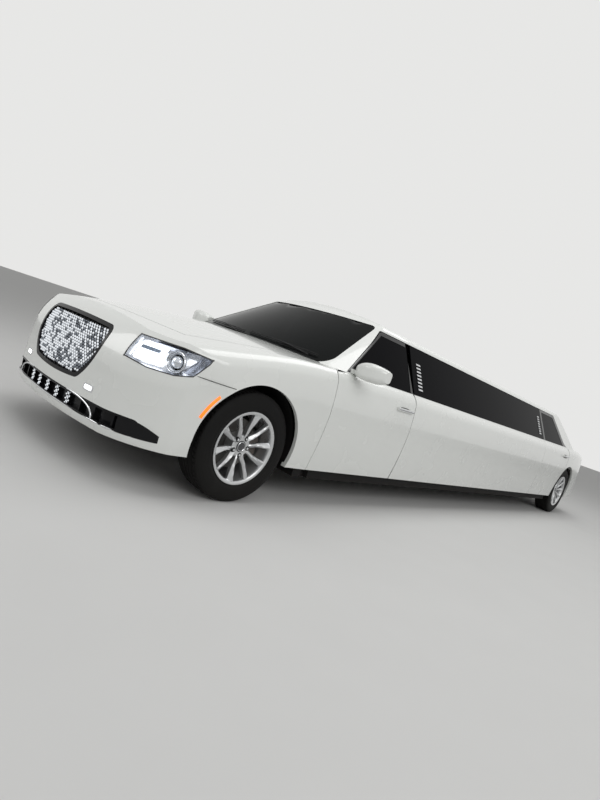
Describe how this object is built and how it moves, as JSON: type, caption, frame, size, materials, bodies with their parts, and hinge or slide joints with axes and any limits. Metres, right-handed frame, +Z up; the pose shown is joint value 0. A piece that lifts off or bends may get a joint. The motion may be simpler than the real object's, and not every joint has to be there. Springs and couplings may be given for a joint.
{
  "type": "stretch limousine",
  "caption": "Full-size white saloon stretched behind its front doors, with opening doors, bonnet and boot, steered front wheels and free-rolling wheels.",
  "frame": {"origin": "on the ground under the middle of the car's bounding box", "axes": "+X forward, +Y to the car's left, +Z up"},
  "size_m": [8.5994, 2.296, 1.4839],
  "materials": {
    "paint": "gloss white",
    "privacy_glass": "dark privacy tint",
    "clear_glass": "light green tint",
    "lamp": "clear lens",
    "red_lens": "clear red",
    "chrome": "polished",
    "black_plastic": "matt black",
    "steel": "black underbody coating",
    "iron": "bare casting",
    "alloy": "bright silver",
    "tyre": "black rubber",
    "leather": "black grained",
    "exhaust_steel": "dull stainless"
  },
  "bodies": {
    "body": {"body_frame": "steel", "cowl_panel": "black_plastic", "dashboard": "black_plastic", "driveline": "steel", "engine": "iron", "exhaust": "exhaust_steel", "front_bumper": "paint", "front_fender_left": "paint", "front_fender_right": "paint", "front_seats": "leather", "front_suspension": "steel", "gills": "chrome", "grille": "chrome", "headlamps": "lamp", "lower_grille": "chrome", "partition": "black_plastic", "rear_bumper": "paint", "rear_quarter_left": "paint", "rear_quarter_right": "paint", "rear_seat": "leather", "rear_suspension": "steel", "rear_window": "privacy_glass", "side_bench": "leather", "side_glass": "privacy_glass", "side_panel_left": "paint", "side_panel_right": "paint", "tail_lamps": "red_lens", "upper_body": "paint", "windscreen": "clear_glass"},
    "front_door_left": {"front_door_left": "paint", "front_door_glass_left": "privacy_glass", "mirror_left": "paint"},
    "rear_door_left": {"rear_door_left": "paint", "rear_door_glass_left": "privacy_glass"},
    "knuckle_left": {"knuckle_left": "iron"},
    "front_wheel_left": {"front_rim_left": "alloy", "front_tyre_left": "tyre"},
    "rear_wheel_left": {"rear_rim_left": "alloy", "rear_tyre_left": "tyre"},
    "front_door_right": {"front_door_right": "paint", "front_door_glass_right": "privacy_glass", "mirror_right": "paint"},
    "rear_door_right": {"rear_door_right": "paint", "rear_door_glass_right": "privacy_glass"},
    "knuckle_right": {"knuckle_right": "iron"},
    "front_wheel_right": {"front_rim_right": "alloy", "front_tyre_right": "tyre"},
    "rear_wheel_right": {"rear_rim_right": "alloy", "rear_tyre_right": "tyre"},
    "hood": {"hood": "paint"},
    "boot_lid": {"boot_lid": "paint"}
  },
  "joints": [
    {"name": "front_door_left_hinge", "type": "hinge", "parent": "body", "child": "front_door_left", "pos_m": [2.76421, 0.915, 0.6], "axis": [0, 0, -1], "range_deg": [0, 60]},
    {"name": "rear_door_left_hinge", "type": "hinge", "parent": "body", "child": "rear_door_left", "pos_m": [-1.8718, 0.915, 0.6], "axis": [0, 0, -1], "range_deg": [0, 60]},
    {"name": "front_door_right_hinge", "type": "hinge", "parent": "body", "child": "front_door_right", "pos_m": [2.76421, -0.915, 0.6], "axis": [0, 0, 1], "range_deg": [0, 60]},
    {"name": "rear_door_right_hinge", "type": "hinge", "parent": "body", "child": "rear_door_right", "pos_m": [-1.8718, -0.915, 0.6], "axis": [0, 0, 1], "range_deg": [0, 60]},
    {"name": "steer_left", "type": "hinge", "parent": "body", "child": "knuckle_left", "pos_m": [3.45, 0.74, 0.35], "axis": [0, 0, 1], "range_deg": [-35, 35]},
    {"name": "front_wheel_left_spin", "type": "hinge", "parent": "knuckle_left", "child": "front_wheel_left", "pos_m": [3.45, 0.8055, 0.35], "axis": [0, 1, 0], "continuous": true},
    {"name": "rear_wheel_left_spin", "type": "hinge", "parent": "body", "child": "rear_wheel_left", "pos_m": [-3.158, 0.81, 0.35], "axis": [0, 1, 0], "continuous": true},
    {"name": "steer_right", "type": "hinge", "parent": "body", "child": "knuckle_right", "pos_m": [3.45, -0.74, 0.35], "axis": [0, 0, 1], "range_deg": [-35, 35]},
    {"name": "front_wheel_right_spin", "type": "hinge", "parent": "knuckle_right", "child": "front_wheel_right", "pos_m": [3.45, -0.8055, 0.35], "axis": [0, 1, 0], "continuous": true},
    {"name": "rear_wheel_right_spin", "type": "hinge", "parent": "body", "child": "rear_wheel_right", "pos_m": [-3.158, -0.81, 0.35], "axis": [0, 1, 0], "continuous": true},
    {"name": "hood_hinge", "type": "hinge", "parent": "body", "child": "hood", "pos_m": [2.8, 0, 0.93], "axis": [0, -1, 0], "range_deg": [0, 50]},
    {"name": "boot_lid_hinge", "type": "hinge", "parent": "body", "child": "boot_lid", "pos_m": [-3.51, 0, 1.02], "axis": [0, 1, 0], "range_deg": [0, 70]}
  ],
  "couplings": [
    {"joint": "steer_right", "follows": "steer_left", "ratio": 1}
  ]
}
